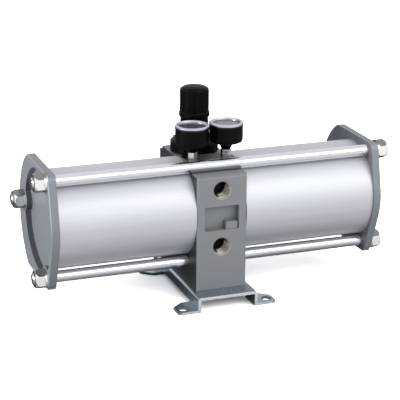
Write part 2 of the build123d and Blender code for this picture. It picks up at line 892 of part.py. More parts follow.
def gauge_pointer(x):
    """The pointer on its arbor, at the low end of the scale."""
    dial = gauge_case_bottom + gauge_case_height - dial_depth + dial_thickness
    height = dial + 1.2
    reach = gauge_radius - gauge_wall - 4
    needle = Pos(x, gauge_y, height) * make_face(
        Polyline([(0, -pointer_width), (reach, 0), (0, pointer_width), (-4, 0.8), (-4, -0.8)], close=True)
    )
    needle = extrude(needle, pointer_thickness)
    hub = z_cylinder(2.2, height, height + pointer_thickness + 0.8, x, gauge_y)
    arbor = z_cylinder(arbor_radius, gauge_case_bottom + 4 + running, height + 0.1, x, gauge_y)
    return Pos(x, gauge_y, 0) * Rot(0, 0, 225) * Pos(-x, -gauge_y, 0) * (needle + hub + arbor)


# Governor

def bonnet_screw_places():
    """Four screws around the bonnet's flange."""
    reach = bonnet_screw_circle / sqrt(2)
    return [(x * reach, governor_y + y * reach) for x in (-1, 1) for y in (-1, 1)]


def governor_bonnet():
    """The black bonnet: a flange over the diaphragm, a cone and a neck around the spring."""
    flange_top = bonnet_bottom + bonnet_flange_height
    cone_top = flange_top + bonnet_cone_height
    roof = bonnet_top - bonnet_top_wall
    bonnet = turned(
        [
            (chamber_radius, bonnet_bottom),
            (bonnet_radius, bonnet_bottom),
            (bonnet_radius, flange_top - 2.5),
            (bonnet_radius - 2.5, flange_top),
            (bonnet_neck_radius + 3, flange_top + 2),
            (bonnet_neck_radius, cone_top),
            (bonnet_neck_radius, bonnet_top - 1),
            (bonnet_neck_radius - 1, bonnet_top),
            (screw_diameter / 2 + 1 + running, bonnet_top),
            (screw_diameter / 2 + 1 + running, roof),
            (spring_bore_radius, roof),
            (spring_bore_radius, plate_roof),
            (chamber_radius, bonnet_bottom + 2),
        ],
        0,
        governor_y,
    )
    sink = flange_top - bonnet_screw_head
    for x, y in bonnet_screw_places():
        bonnet -= z_cylinder(bonnet_screw_diameter / 2 + slip, bonnet_bottom - 1, cone_top, x, y)
        bonnet -= z_cylinder(bonnet_screw_diameter * 0.8 + slip, sink, cone_top, x, y)
    return bonnet


def bonnet_screws():
    """The flange's four screws, their heads sunk in the flange."""
    under = bonnet_bottom + bonnet_flange_height - bonnet_screw_head
    length = under - deck_height + bonnet_screw_grip
    screw = cap_screw(bonnet_screw_diameter, under, length)
    return joined([Pos(x, y, 0) * screw for x, y in bonnet_screw_places()])


def diaphragm():
    """The rubber diaphragm clamped under the bonnet, pierced for its hub and the flange screws."""
    top = deck_height + diaphragm_thickness
    sheet_disc = z_cylinder(diaphragm_radius + 1, deck_height, top, 0, governor_y)
    sheet_disc -= z_cylinder(3 + running, deck_height - 1, top + 1, 0, governor_y)
    for x, y in bonnet_screw_places():
        sheet_disc -= z_cylinder(bonnet_screw_diameter / 2 + slip, deck_height - 1, top + 1, x, y)
    return sheet_disc


def diaphragm_plates():
    """The plates either side of the diaphragm, joined by their hub: spring seat above, pusher below."""
    top = bonnet_bottom
    pusher = z_cylinder(pusher_radius, deck_height - pusher_height, deck_height, 0, governor_y)
    upper = z_cylinder(spring_bore_radius - clear, top, plate_roof, 0, governor_y)
    hub = z_cylinder(3, deck_height - 0.5, top + 0.5, 0, governor_y)
    return pusher + upper + hub


def governor_spring():
    """The range spring between the diaphragm's plate and the travelling seat."""
    return coil(spring_mean_radius, spring_wire, plate_roof, spring_top, spring_turns, 0, governor_y)


def spring_seat():
    """The travelling seat that the adjusting screw drives down the bonnet."""
    seat = z_cylinder(spring_bore_radius - clear, spring_top, seat_top, 0, governor_y)
    return seat - z_cylinder(screw_diameter / 2 + running, spring_top - 1, seat_top + 1, 0, governor_y)


def adjusting_screw():
    """The screw: thread below, a collar under the bonnet's roof and a hexagon into the knob."""
    collar = bonnet_top - bonnet_top_wall - clear
    thread_end = spring_top - seat_travel - 2
    screw = z_cylinder(screw_diameter / 2, thread_end, collar, 0, governor_y)
    screw += z_cylinder(screw_collar_radius, collar - screw_collar_height, collar, 0, governor_y)
    screw += z_cylinder(screw_diameter / 2 + 1, collar - 0.5, knob_bottom + 1, 0, governor_y)
    return screw + hex_bar_z(screw_hex, knob_bottom, knob_bottom + screw_hex_length, 0, governor_y)


def governor_knob():
    """The fluted knob: a domed cap with a flared skirt, hollow around the hexagon's socket."""
    bottom, radius, skirt = knob_bottom, knob_radius, knob_skirt_radius
    top = bottom + knob_height
    shoulder = top - knob_dome
    roof = shoulder - knob_wall
    hub = screw_hex * 0.6 + 2.5
    outline = [
        (0, bottom + 2),
        (hub, bottom + 2),
        (hub, roof),
        (radius - knob_wall, roof),
        (radius - knob_wall, bottom),
        (skirt - 0.8, bottom),
        (skirt, bottom + 0.8),
        (skirt, bottom + knob_skirt_height - 1.5),
        (radius, bottom + knob_skirt_height),
        (radius, shoulder),
        (radius - 0.8, shoulder + 1.6),
        (radius - 3.5, shoulder + 3.4),
        (radius - 8, shoulder + 4.6),
        (0, top),
    ]
    knob = turned(outline, 0, governor_y)
    knob -= hex_bar_z(screw_hex + 2 * running, bottom + 1, bottom + screw_hex_length + 2, 0, governor_y)
    for number in range(knob_flutes):
        angle = radians(360 * number / knob_flutes)
        reach = radius + 2 - flute_depth
        x, y = reach * cos(angle), governor_y + reach * sin(angle)
        knob -= z_cylinder(2, bottom + knob_skirt_height, top, x, y)
    return knob


def governor_seat():
    """The valve seat pressed in under the diaphragm chamber."""
    top = deck_height - chamber_depth
    seat = z_cylinder(valve_pocket_radius, top - valve_seat_height, top, 0, governor_y)
    return seat - z_cylinder(valve_orifice / 2, top - valve_seat_height - 1, top + 1, 0, governor_y)


def governor_valve():
    """The valve that closes upwards on its seat, with a stem up to the pusher."""
    seat = deck_height - chamber_depth - valve_seat_height
    disc = z_cylinder(valve_disc_radius, seat - valve_disc_height, seat - running, 0, governor_y)
    stem_top = deck_height - pusher_height - running
    return disc + z_cylinder(valve_stem_radius, seat - 1, stem_top, 0, governor_y)


def valve_spring():
    """The return spring under the governor valve."""
    bottom = deck_height - chamber_depth - valve_pocket_depth
    top = deck_height - chamber_depth - valve_seat_height - valve_disc_height
    return coil(4.2, 1.0, bottom, top, 3.0, 0, governor_y)


def write(name, piece):
    """Save one sub-part."""
    export_step(piece, f"parts/{name}.step")


def main():
    os.makedirs("parts", exist_ok=True)
    write("centre_body", centre_body())
    write("right_tube", tube())
    write("left_tube", mirrored(tube()))
    cover = end_cover()
    write("right_cover", cover)
    write("left_cover", mirrored(cover))
    write("tie_rods", tie_rods())
    write("tie_rod_nuts", tie_rod_nuts())
    write("tie_rod_washers", tie_rod_washers())
    write("tube_seals", tube_seals())
    write("piston_rod", piston_rod())
    write("right_piston", piston())
    write("left_piston", mirrored(piston()))
    write("piston_seals", piston_seals())
    write("guide_bands", guide_bands())
    write("piston_nuts", piston_nuts())
    write("rod_bush", rod_bush())
    write("rod_seals", rod_seals())
    write("seal_retainers", seal_retainers())
    write("right_pilot_pin", pilot_pin())
    write("left_pilot_pin", mirrored(pilot_pin()))
    write("pilot_pin_guides", pilot_pin_guides())
    write("spool_sleeve", spool_sleeve())
    write("spool", spool())
    write("spool_end_cap", spool_end_cap())
    write("spool_cap_screws", spool_cap_screws())
    for number, (x, y) in enumerate(check_places(), 1):
        write(f"check_valve_{number}", check_valve(x, y))
        write(f"check_spring_{number}", check_spring(x, y))
    write("check_valve_plugs", check_valve_plugs())
    write("foot_bracket", foot_bracket())
    write("bracket_bolts", bracket_bolts())
    write("gauge_block", gauge_block())
    write("block_plug", block_plug())
    write("gauge_stems", gauge_stems())
    write("gauge_lenses", gauge_lenses())
    write("gauge_dials", gauge_dials())
    for side, x in (("left", -gauge_x), ("right", gauge_x)):
        write(f"{side}_gauge_case", gauge_case(x))
        write(f"{side}_gauge_bezel", gauge_bezel(x))
        write(f"{side}_gauge_pointer", gauge_pointer(x))
    write("governor_bonnet", governor_bonnet())
    write("bonnet_screws", bonnet_screws())
    write("diaphragm", diaphragm())
    write("diaphragm_plates", diaphragm_plates())
    write("governor_spring", governor_spring())
    write("spring_seat", spring_seat())
    write("adjusting_screw", adjusting_screw())
    write("governor_knob", governor_knob())
    write("governor_seat", governor_seat())
    write("governor_valve", governor_valve())
    write("valve_spring", valve_spring())
    print("rod places", [(round(y, 2), round(z, 2)) for y, z in rod_places])
    print("piston stroke", piston_stroke, "rod end", rod_end, "front land", round(front_land_height, 2))


main()
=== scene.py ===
# %% [markdown]
# A compressed-air booster, dressed for the studio.
# The shapes come from a imported CAD frame, so this lesson is about surfaces, small threads and light.
# The first cell loads that frame and gives a way to read the box of any part.

# %% Load the frame
import json
import math
import bpy
from mathutils import Matrix, Vector


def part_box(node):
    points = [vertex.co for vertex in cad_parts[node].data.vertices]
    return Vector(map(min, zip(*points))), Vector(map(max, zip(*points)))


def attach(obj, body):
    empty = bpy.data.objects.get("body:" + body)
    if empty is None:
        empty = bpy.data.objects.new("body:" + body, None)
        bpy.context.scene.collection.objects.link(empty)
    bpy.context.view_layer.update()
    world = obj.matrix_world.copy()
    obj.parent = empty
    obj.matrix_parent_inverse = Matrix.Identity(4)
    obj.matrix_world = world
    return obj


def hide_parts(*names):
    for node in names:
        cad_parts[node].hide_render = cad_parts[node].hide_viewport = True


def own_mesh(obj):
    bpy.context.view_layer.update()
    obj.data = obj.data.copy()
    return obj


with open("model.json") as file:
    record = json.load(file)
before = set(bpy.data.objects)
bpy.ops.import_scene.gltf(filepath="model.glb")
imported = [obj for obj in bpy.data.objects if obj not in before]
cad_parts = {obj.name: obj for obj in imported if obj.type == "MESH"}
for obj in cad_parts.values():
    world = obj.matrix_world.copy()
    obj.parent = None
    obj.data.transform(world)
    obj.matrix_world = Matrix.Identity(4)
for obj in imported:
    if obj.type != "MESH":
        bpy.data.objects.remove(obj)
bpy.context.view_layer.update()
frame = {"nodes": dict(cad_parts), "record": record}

MM = 0.001
nodes = frame["nodes"]

# %% [markdown]
# Shader maths is easier to read as plain arithmetic.
# This small class wraps a socket, so `1 - mask * 0.5` adds its own Math nodes behind the scenes.
# Colours don't go through it, because a Math node would turn them grey.

# %% A socket that can be added and multiplied
class Value:
    def __init__(self, tree, socket):
        self.tree, self.socket = tree, socket

    def math(self, operation, *others, swap=False):
        node = self.tree.nodes.new("ShaderNodeMath")
        node.operation = operation
        values = [self, *others]
        if swap:
            values.reverse()
        for socket, value in zip(node.inputs, values):
            plug(self.tree, socket, value)
        return Value(self.tree, node.outputs[0])

    def __add__(self, other):
        return self.math("ADD", other)

    def __sub__(self, other):
        return self.math("SUBTRACT", other)

    def __rsub__(self, other):
        return self.math("SUBTRACT", other, swap=True)

    def __mul__(self, other):
        return self.math("MULTIPLY", other)

    def __truediv__(self, other):
        return self.math("DIVIDE", other)

    def __lt__(self, other):
        return self.math("LESS_THAN", other)

    def __gt__(self, other):
        return self.math("GREATER_THAN", other)

    __radd__ = __add__
    __rmul__ = __mul__


def plug(tree, socket, value):
    """Link a wrapped socket, or set a plain number or colour."""
    if isinstance(value, Value):
        tree.links.new(value.socket, socket)
    else:
        socket.default_value = value


def add_node(tree, kind, settings=None, inputs=None, output=0):
    """One node of a kind: first its settings, then its sockets; what comes back is one output."""
    made = tree.nodes.new(kind)
    for key, value in (settings or {}).items():
        if key == "stops":
            set_stops(made.color_ramp, value)
        else:
            setattr(made, key, value)
    for key, value in (inputs or {}).items():
        plug(tree, made.inputs[key], value)
    if made.outputs:
        return Value(tree, made.outputs[output])


def set_stops(ramp, stops):
    while len(ramp.elements) < len(stops):
        ramp.elements.new(0.5)
    for element, (where, colour) in zip(ramp.elements, stops):
        element.position = where
        element.color = colour


# %% [markdown]
# Every finish starts from the same three things: the piece's own coordinates in metres, a shader and an output.
# One method makes any other node: first its settings, then its sockets.
# Object coordinates are used throughout, because every piece sits at the origin and its place is in its mesh.

# %% A finish under construction
class Finish:
    def __init__(self, name, owner=None):
        self.material = owner or bpy.data.materials.new(name)
        self.material.use_nodes = True
        self.tree = self.material.node_tree
        self.tree.nodes.clear()
        self.place = self.node("ShaderNodeTexCoord", output="Object")

    def node(self, kind, settings=None, inputs=None, output=0):
        return add_node(self.tree, kind, settings, inputs, output)

    def normal(self):
        """The direction a surface faces, as a vector."""
        return self.node("ShaderNodeNewGeometry", output="Normal")

    def faces_along(self, axis):
        """1 where the surface faces along that axis, either way, and 0 where it doesn't."""
        part = self.node("ShaderNodeSeparateXYZ", None, {"Vector": self.normal()}, axis)
        return self.ramp(part.math("ABSOLUTE"), 0.55, 0.75)

    def noise(self, scale, detail=3.0, stretch=(1, 1, 1)):
        """Noise between 0 and 1; stretch is how many times finer it is along each axis."""
        moved = self.node("ShaderNodeMapping", None, {"Vector": self.place, "Scale": stretch}, "Vector")
        return self.node("ShaderNodeTexNoise", None, {"Vector": moved, "Scale": scale, "Detail": detail}, "Fac")

    def axes(self):
        """The piece's X, Y and Z as three values, in metres."""
        split = self.tree.nodes.new("ShaderNodeSeparateXYZ")
        plug(self.tree, split.inputs[0], self.place)
        return [Value(self.tree, out) for out in split.outputs]

    def ramp(self, value, low, high):
        """0 below low, 1 above high, and smooth between them."""
        inputs = {"Value": value, "From Min": low, "From Max": high}
        return self.node("ShaderNodeMapRange", {"interpolation_type": "SMOOTHSTEP"}, inputs, "Result")

    def mix(self, factor, first, second):
        """A colour between two colours."""
        made = self.tree.nodes.new("ShaderNodeMix")
        made.data_type = "RGBA"
        for index, value in ((0, factor), (6, first), (7, second)):
            plug(self.tree, made.inputs[index], value)
        return Value(self.tree, made.outputs[2])

    def bump(self, height, distance, strength=1.0):
        inputs = {"Height": height, "Distance": distance, "Strength": strength}
        return self.node("ShaderNodeBump", None, inputs, "Normal")

    def done(self, **inputs):
        """Put the values on the shader's own sockets and finish the material."""
        sockets = {key.replace("_", " "): value for key, value in inputs.items()}
        shader = self.node("ShaderNodeBsdfPrincipled", None, sockets, "BSDF")
        self.node("ShaderNodeOutputMaterial", None, {"Surface": shader})
        return self.material


def rgb(red, green, blue):
    return (red, green, blue, 1.0)


# %% [markdown]
# The tubes are extruded aluminium, brushed along their length and clear anodised.
# Very long, very fine noise gives the drawn lines; it moves the roughness a little more than the colour.
# A grey that isn't fully metallic keeps the soft, pale look that anodising has under a wide lamp.

# %% Anodised tube
def make_tube():
    finish = Finish("tube_anodised")
    lines = finish.noise(900, 2.0, (0.02, 1, 1))
    streaks = finish.noise(150, 3.0, (0.015, 1, 1))
    cloud = finish.noise(14, 2.0)
    colour = finish.mix(lines * 0.5 + streaks * 0.5, rgb(0.51, 0.51, 0.545), rgb(0.64, 0.64, 0.665))
    colour = finish.mix(cloud * 0.12, colour, rgb(0.49, 0.49, 0.55))
    normal = finish.bump(lines * 0.5 + streaks, 0.00002, 0.5)
    return finish.done(Base_Color=colour, Metallic=0.8, Roughness=0.50 + streaks * 0.16, Normal=normal)


tube_anodised = make_tube()

# %% [markdown]
# The centre body is a die casting under a fine-textured grey paint.
# Two sizes of noise make the grain; a third, much larger, stops the big front face looking like card.
# The sides, next to the tubes, carry painted shade and are nearly black, so the distance from the middle picks them
# out.

# %% Grey body paint
HALF_BODY = min(abs(corner.x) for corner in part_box("right_tube"))
PORTS = {mount["name"]: mount for mount in frame["record"]["mounts"] if mount["kind"] == "threaded_hole"}
PORT_MOUTH = 10.5 * MM
FACE_SKIN = 0.2 * MM
DEEP_IN_PORT = -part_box("centre_body")[0].y - 10 * MM


def bored(finish):
    """How far a point lies inside the nearest port: inside its mouth's radius and behind its face."""
    across, depth, height = finish.axes()
    front, back = (corner.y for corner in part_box("centre_body"))
    behind_face = (depth - front - FACE_SKIN).math("MINIMUM", 0 - (depth - back + FACE_SKIN))
    nearest = -1
    for mount in PORTS.values():
        port_x, port_y, port_z = mount["pos_m"]
        offset = (across - port_x).math("POWER", 2) + (height - port_z).math("POWER", 2)
        inside = PORT_MOUTH - offset.math("SQRT")
        nearest = inside.math("MAXIMUM", nearest)
    return nearest.math("MINIMUM", behind_face)


def make_body_paint():
    finish = Finish("body_paint")
    distance = finish.axes()[0].math("ABSOLUTE")
    # Painted shade: the side faces next to the tubes are painted nearly black.
    side = finish.ramp(distance, HALF_BODY - 0.25 * MM, HALF_BODY - 0.05 * MM)
    grain = finish.noise(1500, 2.0)
    orange = finish.noise(420, 2.0)
    cloud = finish.noise(22, 3.0)
    colour = finish.mix(grain * 0.35 + cloud * 0.4, rgb(0.205, 0.210, 0.218), rgb(0.255, 0.260, 0.270))
    colour = finish.mix(side, colour, rgb(0.022, 0.022, 0.022))
    cut = finish.ramp(bored(finish), -0.1 * MM, 0.1 * MM)
    # Painted shade: the bare metal in the port bores turns nearly black further in.
    unshaded_bore = finish.ramp(finish.axes()[1].math("ABSOLUTE"), DEEP_IN_PORT, DEEP_IN_PORT + 9 * MM)
    metal = finish.mix(unshaded_bore, rgb(0.015, 0.014, 0.013), rgb(0.40, 0.38, 0.35))
    colour = finish.mix(cut, colour, metal)
    normal = finish.bump(grain * 0.4 + orange, 0.00006, 0.5)
    rough = (0.42 + grain * 0.14) * (1 - cut * 0.4)
    return finish.done(Base_Color=colour, Metallic=cut * 0.5, Roughness=rough, Normal=normal)


body_paint = make_body_paint()

# %% [markdown]
# The end covers are die cast too, tumbled and left in metal.
# Their inner faces carry painted shade and are darker: the distance from the middle of the booster picks them out.
# Painted shade also makes the edge faces all round darker than the flat end faces, and the wall of the dish much
# darker low down.

# %% Cast covers
COVER_INNER = max(abs(corner.x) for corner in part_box("right_tube"))
AXIS_HEIGHT = sum(corner.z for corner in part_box("piston_rod")) / 2


def make_cover():
    finish = Finish("cover_casting")
    along = finish.axes()[0]
    distance = along.math("ABSOLUTE")
    # Painted shade: the inner faces, towards the tubes, are painted darker.
    inside = 1 - finish.ramp(distance, COVER_INNER + 0.3 * MM, COVER_INNER + 1.2 * MM)
    grain = finish.noise(1100, 3.0)
    cloud = finish.noise(30, 3.0)
    outer = finish.mix(grain * 0.4 + cloud * 0.4, rgb(0.28, 0.30, 0.335), rgb(0.36, 0.385, 0.425))
    # Painted shade: faces that don't face along X, the edges all round, are painted darker.
    outer = finish.mix(finish.faces_along("X"), rgb(0.215, 0.235, 0.255), outer)
    colour = finish.mix(inside, outer, rgb(0.20, 0.205, 0.225))
    spoke = finish.node("ShaderNodeMapping", None, {"Vector": finish.place, "Location": (0, 0, -AXIS_HEIGHT),
                                                    "Scale": (0, 1, 1)}, "Vector")
    facing = finish.node("ShaderNodeVectorMath", {"operation": "DOT_PRODUCT"}, {0: finish.normal(), 1: spoke}, "Value")
    # Painted shade: the dish wall low down, facing the axis, is painted much darker.
    low = 1 - finish.ramp(finish.axes()[2], AXIS_HEIGHT + 20 * MM, AXIS_HEIGHT + 45 * MM)
    colour = finish.mix(finish.ramp(0 - facing, 15 * MM, 30 * MM) * low, colour, rgb(0.09, 0.093, 0.10))
    normal = finish.bump(grain, 0.00006, 0.5)
    return finish.done(Base_Color=colour, Metallic=0.35, Roughness=0.38 + grain * 0.16, Normal=normal)


cover_casting = make_cover()
print("covers start at", round(COVER_INNER / MM, 1), "mm")

# %% [markdown]
# Tie rods, nuts and washers are zinc plated and bright.
# A rod is drawn, so its lines run along X; painted shade darkens a nut's ends and the flats facing up or down, so its
# front and back flats stay bright.

# %% Bright steel
def make_steel(name, tone, stretch, rough, shaded_axes=(), shaded_below=None):
    """Plated or turned metal, with optional painted shade: axes along which faces are darkened, and a height below
    which it turns nearly black.
    """
    finish = Finish(name)
    lines = finish.noise(1200, 2.0, stretch)
    cloud = finish.noise(60, 2.0)
    dark = [channel * 0.82 for channel in tone]
    colour = finish.mix(lines * 0.6 + cloud * 0.3, rgb(*dark), rgb(*tone))
    # Painted shade: faces along these axes are darkened towards a dull grey.
    for axis, amount in shaded_axes:
        colour = finish.mix(finish.faces_along(axis) * amount, colour, rgb(0.16, 0.15, 0.14))
    # Painted shade: below the given height the metal turns nearly black.
    if shaded_below:
        above = finish.ramp(finish.axes()[2], shaded_below, shaded_below + 0.4 * MM)
        colour = finish.mix(above, rgb(0.03, 0.03, 0.03), colour)
    normal = finish.bump(lines, 0.00001, 0.5)
    return finish.done(Base_Color=colour, Metallic=1.0, Roughness=rough + lines * 0.12, Normal=normal)


rod_steel = make_steel("rod_steel", (0.76, 0.76, 0.80), (0.03, 1, 1), 0.16)
nut_steel = make_steel("nut_steel", (0.97, 0.96, 0.94), (1, 1, 1), 0.12, (("X", 0.85), ("Z", 0.85)))
turned_steel = make_steel("turned_steel", (0.72, 0.72, 0.73), (1, 1, 0.1), 0.2)
spring_steel = make_steel("spring_steel", (0.42, 0.42, 0.43), (1, 1, 1), 0.3)
dark_steel = make_steel("dark_steel", (0.10, 0.10, 0.11), (1, 1, 1), 0.35)
bronze = make_steel("bronze", (0.72, 0.52, 0.26), (1, 1, 1), 0.25)
turned_aluminium = make_steel("turned_aluminium", (0.75, 0.75, 0.77), (1, 1, 1), 0.28)
RING_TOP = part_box("left_gauge_bezel")[1].z
# Painted shade turns the gauge rims nearly black 2.4 mm under their top.
gauge_rim = make_steel("gauge_rim", (0.60, 0.60, 0.67), (1, 1, 1), 0.32, shaded_below=RING_TOP - 2.4 * MM)

# %% [markdown]
# The foot bracket is bent from coated sheet with a slate blue sheen; its sheared ends show bare metal.
# The gauge block and the hidden cap are dark grey with the same recipe, so one function makes both.

# %% Coated sheet and dark caps
BRACKET_END = max(abs(corner.y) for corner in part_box("foot_bracket"))


def make_coat(name, low, high, rough, metal):
    finish = Finish(name)
    grain = finish.noise(900, 3.0)
    cloud = finish.noise(26, 3.0)
    colour = finish.mix(grain * 0.3 + cloud * 0.5, rgb(*low), rgb(*high))
    if metal:
        reach = finish.axes()[1].math("ABSOLUTE")
        sheared = finish.ramp(reach, BRACKET_END - 0.2 * MM, BRACKET_END - 0.05 * MM)
        colour = finish.mix(sheared, colour, rgb(0.85, 0.88, 0.90))
    normal = finish.bump(grain, 0.00004, 0.4)
    return finish.done(Base_Color=colour, Metallic=metal, Roughness=rough + grain * 0.12, Normal=normal)


bracket_coat = make_coat("bracket_coat", (0.32, 0.37, 0.41), (0.42, 0.48, 0.53), 0.20, 0.9)
dark_coat = make_coat("dark_coat", (0.040, 0.041, 0.040), (0.065, 0.066, 0.066), 0.4, 0.0)

# %% [markdown]
# The knob, bonnet and gauge cases are moulded black plastic with a light grain.
# Rubber is the same idea, rougher and without gloss.

# %% Black plastic and rubber
def make_plastic(name, tone, rough, depth, gloss=0.3):
    finish = Finish(name)
    grain = finish.noise(1300, 2.0)
    cloud = finish.noise(40, 2.0)
    light = [channel * 1.7 + 0.001 for channel in tone]
    colour = finish.mix(cloud * 0.7, rgb(*tone), rgb(*light))
    normal = finish.bump(grain, depth, 0.5)
    return finish.done(Base_Color=colour, Roughness=rough + grain * 0.15, Specular_IOR_Level=gloss, Normal=normal)


black_plastic = make_plastic("black_plastic", (0.0012, 0.0012, 0.0012), 0.32, 0.00004, 0.07)
rubber = make_plastic("rubber", (0.02, 0.02, 0.02), 0.7, 0.00003)
wear_plastic = make_plastic("wear_plastic", (0.45, 0.40, 0.28), 0.5, 0.00002)
pointer_white = make_plastic("pointer_white", (0.56, 0.56, 0.54), 0.45, 0.00001)

# %% [markdown]
# The lenses are thin clear plastic, so most of the light goes straight through and the dial stays lit.
# What is left is gloss: at this low angle they mirror the white air like still water.
# The dials are dark plates, with a faint grain so that they don't look like holes, and their print is white.

# %% Lens and dial
def make_lens():
    finish = Finish("clear_lens")
    smear = finish.noise(90, 2.0)
    colour = finish.mix(smear, rgb(0.10, 0.11, 0.11), rgb(0.15, 0.16, 0.165))
    return finish.done(Base_Color=colour, Alpha=0.48 + smear * 0.05, Roughness=0.04 + smear * 0.04,
                       Coat_Weight=1.0, Coat_Roughness=0.03, IOR=2.1)


def make_dial():
    finish = Finish("dial_plate")
    grain = finish.noise(800, 2.0)
    colour = finish.mix(grain, rgb(0.035, 0.045, 0.042), rgb(0.055, 0.068, 0.063))
    return finish.done(Base_Color=colour, Roughness=0.5 + grain * 0.1)


clear_lens = make_lens()
dial_plate = make_dial()

# %% [markdown]
# Each CAD node now gets its finish.
# The names say what a piece is, so a short list of finishes with their nodes covers the whole booster.

# %% Hand out the finishes
FINISHES = {
    tube_anodised: ["left_tube", "right_tube"],
    body_paint: ["centre_body"],
    cover_casting: ["left_cover", "right_cover"],
    rod_steel: ["tie_rods", "piston_rod"],
    nut_steel: ["tie_rod_nuts", "tie_rod_washers", "piston_nuts", "gauge_stems"],
    gauge_rim: ["left_gauge_bezel", "right_gauge_bezel"],
    turned_steel: ["left_pilot_pin", "right_pilot_pin", "spool", "adjusting_screw"],
    spring_steel: ["governor_spring", "valve_spring"] + [f"check_spring_{n}" for n in range(1, 5)],
    dark_steel: ["spool_cap_screws", "bracket_bolts", "bonnet_screws"],
    bronze: ["rod_bush", "seal_retainers", "pilot_pin_guides", "check_valve_plugs", "spring_seat",
             "governor_seat", "governor_valve"] + [f"check_valve_{n}" for n in range(1, 5)],
    turned_aluminium: ["left_piston", "right_piston", "spool_sleeve", "diaphragm_plates"],
    bracket_coat: ["foot_bracket"],
    dark_coat: ["gauge_block", "spool_end_cap"],
    black_plastic: ["block_plug", "left_gauge_case", "right_gauge_case", "governor_bonnet", "governor_knob"],
    rubber: ["tube_seals", "piston_seals", "rod_seals", "diaphragm"],
    wear_plastic: ["guide_bands"],
    pointer_white: ["left_gauge_pointer", "right_gauge_pointer"],
    clear_lens: ["gauge_lenses"],
    dial_plate: ["gauge_dials"],
}


def dress(name, material):
    mesh = nodes[name].data
    mesh.materials.clear()
    mesh.materials.append(material)


for material, names in FINISHES.items():
    for name in names:
        dress(name, material)
dressed = {name for names in FINISHES.values() for name in names}
print("dressed", len(dressed), "left bare", sorted(set(nodes) - dressed))

# %% [markdown]
# Threads and dial marks repeat, so Geometry Nodes grow them at a few given places.
# Each place is a vertex with a direction; the tree turns one shape to that direction and copies it there.
# The copies are made real and given a material, and the result is kept as a plain mesh that rides on a body.


class Grower:
    def __init__(self, name, sizes):
        self.tree = bpy.data.node_groups.new(name, "GeometryNodeTree")
        sockets = self.tree.interface
        sockets.new_socket("Geometry", in_out="OUTPUT", socket_type="NodeSocketGeometry")
        kinds = {"Places": "NodeSocketGeometry", "Material": "NodeSocketMaterial"}
        self.keys = {}
        for size in ["Places", "Material", *sizes]:
            kind = kinds.get(size, "NodeSocketFloat")
            self.keys[size] = sockets.new_socket(size, in_out="INPUT", socket_type=kind).identifier
        self.entry = self.tree.nodes.new("NodeGroupInput")

    def size(self, name):
        return Value(self.tree, self.entry.outputs[name])

    def node(self, kind, settings=None, inputs=None, output=0):
        return add_node(self.tree, kind, settings, inputs, output)

    def finish(self, shape):
        """Copy the shape to every place, turned to its direction, and make the copies real."""
        direction = self.node("GeometryNodeInputNamedAttribute", {"data_type": "FLOAT_VECTOR"},
                              {"Name": "direction"}, "Attribute")
        turned = self.node("FunctionNodeAlignRotationToVector", {"axis": "Z"}, {"Vector": direction}, "Rotation")
        copies = self.node("GeometryNodeInstanceOnPoints", None,
                           {"Points": self.size("Places"), "Instance": shape, "Rotation": turned}, "Instances")
        real = self.node("GeometryNodeRealizeInstances", None, {"Geometry": copies})
        dressed = self.node("GeometryNodeSetMaterial", None, {"Geometry": real, "Material": self.size("Material")})
        self.node("NodeGroupOutput", None, {"Geometry": dressed})


def grow(name, grower, places, values, material, body="frame"):
    """Run a tree on places, each a point and a direction, and keep the result as a plain mesh."""
    mesh = bpy.data.meshes.new(name)
    mesh.from_pydata([point for point, _ in places], [], [])
    attribute = mesh.attributes.new("direction", "FLOAT_VECTOR", "POINT")
    for item, (_, direction) in zip(attribute.data, places):
        item.vector = direction
    piece = bpy.data.objects.new(name, mesh)
    bpy.context.scene.collection.objects.link(piece)
    modifier = piece.modifiers.new("grow", "NODES")
    modifier.node_group = grower.tree
    for key, value in {**values, "Material": material}.items():
        modifier[grower.keys[key]] = value
    graph = bpy.context.evaluated_depsgraph_get()
    grown = bpy.data.meshes.new_from_object(piece.evaluated_get(graph))
    piece.modifiers.clear()
    piece.data = grown
    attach(piece, body)
    print(name, len(grown.polygons), "faces")
    return piece


# %% [markdown]
# A cut thread is a ridge on a helix: a spiral whose two radii are equal, with a small diamond swept along it.
# Half of the diamond sinks into the wall, so what shows is a pointed crest.
# The ports have a half inch pipe thread, and the ends of the tie rods a fine metric one.

# %% Threads
def make_thread():
    thread = Grower("thread", ["Radius", "Pitch", "Turns", "Depth"])
    height = thread.size("Pitch") * thread.size("Turns")
    helix = thread.node("GeometryNodeCurveSpiral", None, {
        "Resolution": 40, "Rotations": thread.size("Turns"), "Start Radius": thread.size("Radius"),
        "End Radius": thread.size("Radius"), "Height": height})
    helix = thread.node("GeometryNodeSetCurveNormal", {"mode": "Z_UP"}, {"Curve": helix})
    crest = thread.node("GeometryNodeCurvePrimitiveCircle", {"mode": "RADIUS"},
                        {"Resolution": 4, "Radius": thread.size("Depth")})
    ridge = thread.node("GeometryNodeCurveToMesh", None,
                        {"Curve": helix, "Profile Curve": crest, "Fill Caps": True})
    thread.finish(ridge)
    return thread


thread = make_thread()
cut_aluminium = make_steel("cut_aluminium", (0.62, 0.59, 0.55), (1, 1, 1), 0.22)
port_places = []
for mount in PORTS.values():
    inward = -Vector(mount["axis"])
    port_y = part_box("centre_body")[0].y if inward.y > 0 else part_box("centre_body")[1].y
    mouth = Vector((mount["pos_m"][0], port_y, mount["pos_m"][2]))
    port_places.append((mouth + inward * 2.2 * MM, inward))
grow("port_threads", thread, port_places,
     {"Radius": 9.4 * MM, "Pitch": 1.814 * MM, "Turns": 8.0, "Depth": 0.7 * MM}, cut_aluminium)

